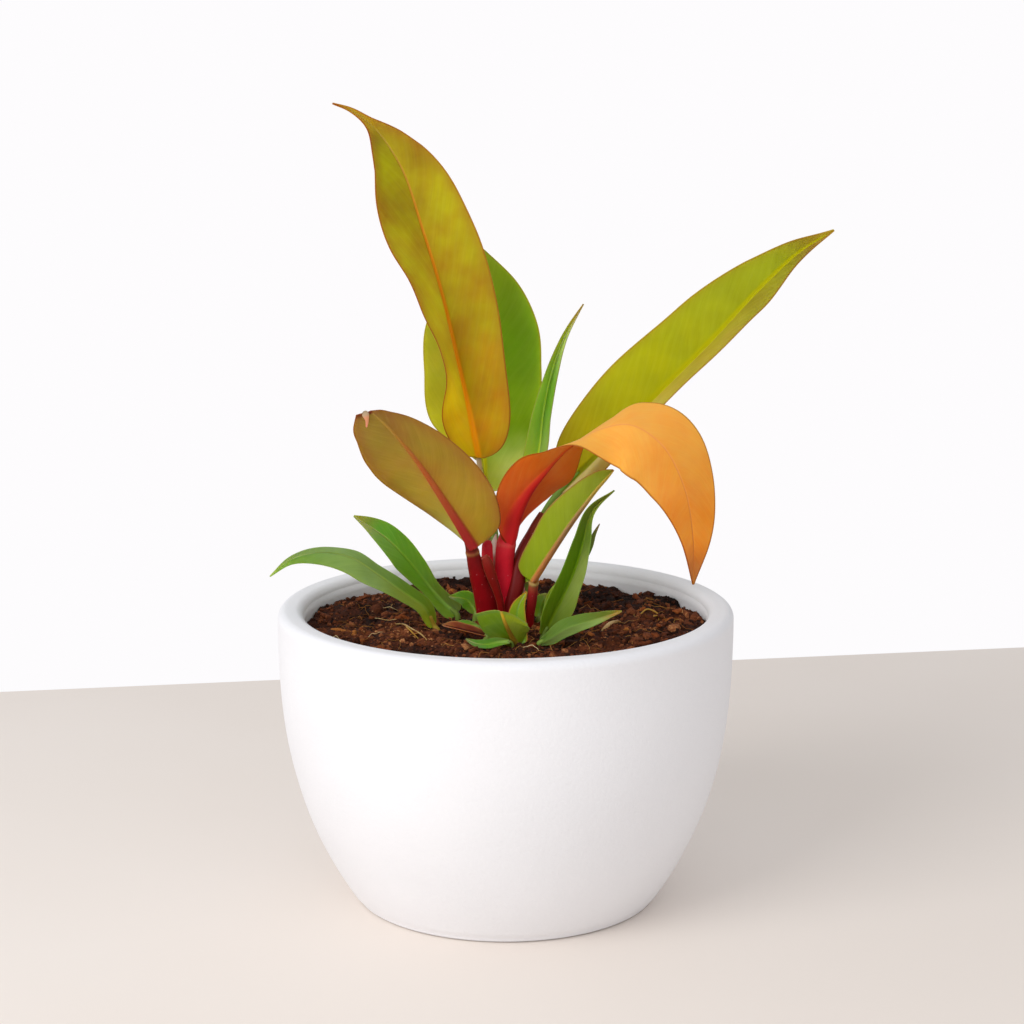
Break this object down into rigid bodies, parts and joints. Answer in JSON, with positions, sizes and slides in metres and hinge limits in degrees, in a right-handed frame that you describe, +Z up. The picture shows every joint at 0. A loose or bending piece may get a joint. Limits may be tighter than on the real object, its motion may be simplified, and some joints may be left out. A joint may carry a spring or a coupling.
{
  "type": "potted philodendron",
  "caption": "House plant in a round tapered pot: olive, green and orange pointed leaves on red stalks, with small side shoots in coarse soil.",
  "frame": {"origin": "middle of the pot's flat base, on the surface it stands on", "axes": "+Z up along the pot's axis, -Y towards the plant's front, +X to the plant's right as seen from the front"},
  "size_m": [0.2203, 0.178, 0.3097],
  "materials": {
    "white_pot": "matte white with a very fine grain",
    "potting_soil": "coarse brown mix of bark, coir fibre and peat crumbs",
    "red_stems": "smooth deep red stalks, satin",
    "olive_orange_leaf": "olive leaf with an orange midrib, satin",
    "green_leaf": "green leaf, satin",
    "yellow_green_leaf": "yellow-green leaf with a reddish margin, satin",
    "orange_leaf": "orange leaf with a broad red midrib, satin",
    "olive_red_leaf": "olive underside with a red midrib and red-brown margin, satin",
    "dry_sheath": "dried red-brown sheath, matte"
  },
  "bodies": {
    "root": {"planter_pot": "white_pot", "soil": "potting_soil", "main_stems": "red_stems", "stalk_young": "red_stems", "leaf_tall": "olive_orange_leaf", "leaf_rear": "green_leaf", "leaf_narrow": "green_leaf", "leaf_right": "yellow_green_leaf", "leaf_orange": "orange_leaf", "leaf_left": "olive_red_leaf", "leaf_young": "yellow_green_leaf", "shoot_leaf_left": "green_leaf", "shoot_leaf_back": "green_leaf", "shoot_leaf_upright": "green_leaf", "shoot_leaf_low": "green_leaf", "shoot_leaf_front": "green_leaf", "shoot_leaf_torn": "green_leaf", "shoot_leaf_dark": "green_leaf", "shoot_leaf_olive": "olive_orange_leaf", "shoot_leaf_small": "green_leaf", "shoot_leaf_scrap": "green_leaf", "dry_sheath": "dry_sheath"}
  },
  "joints": []
}
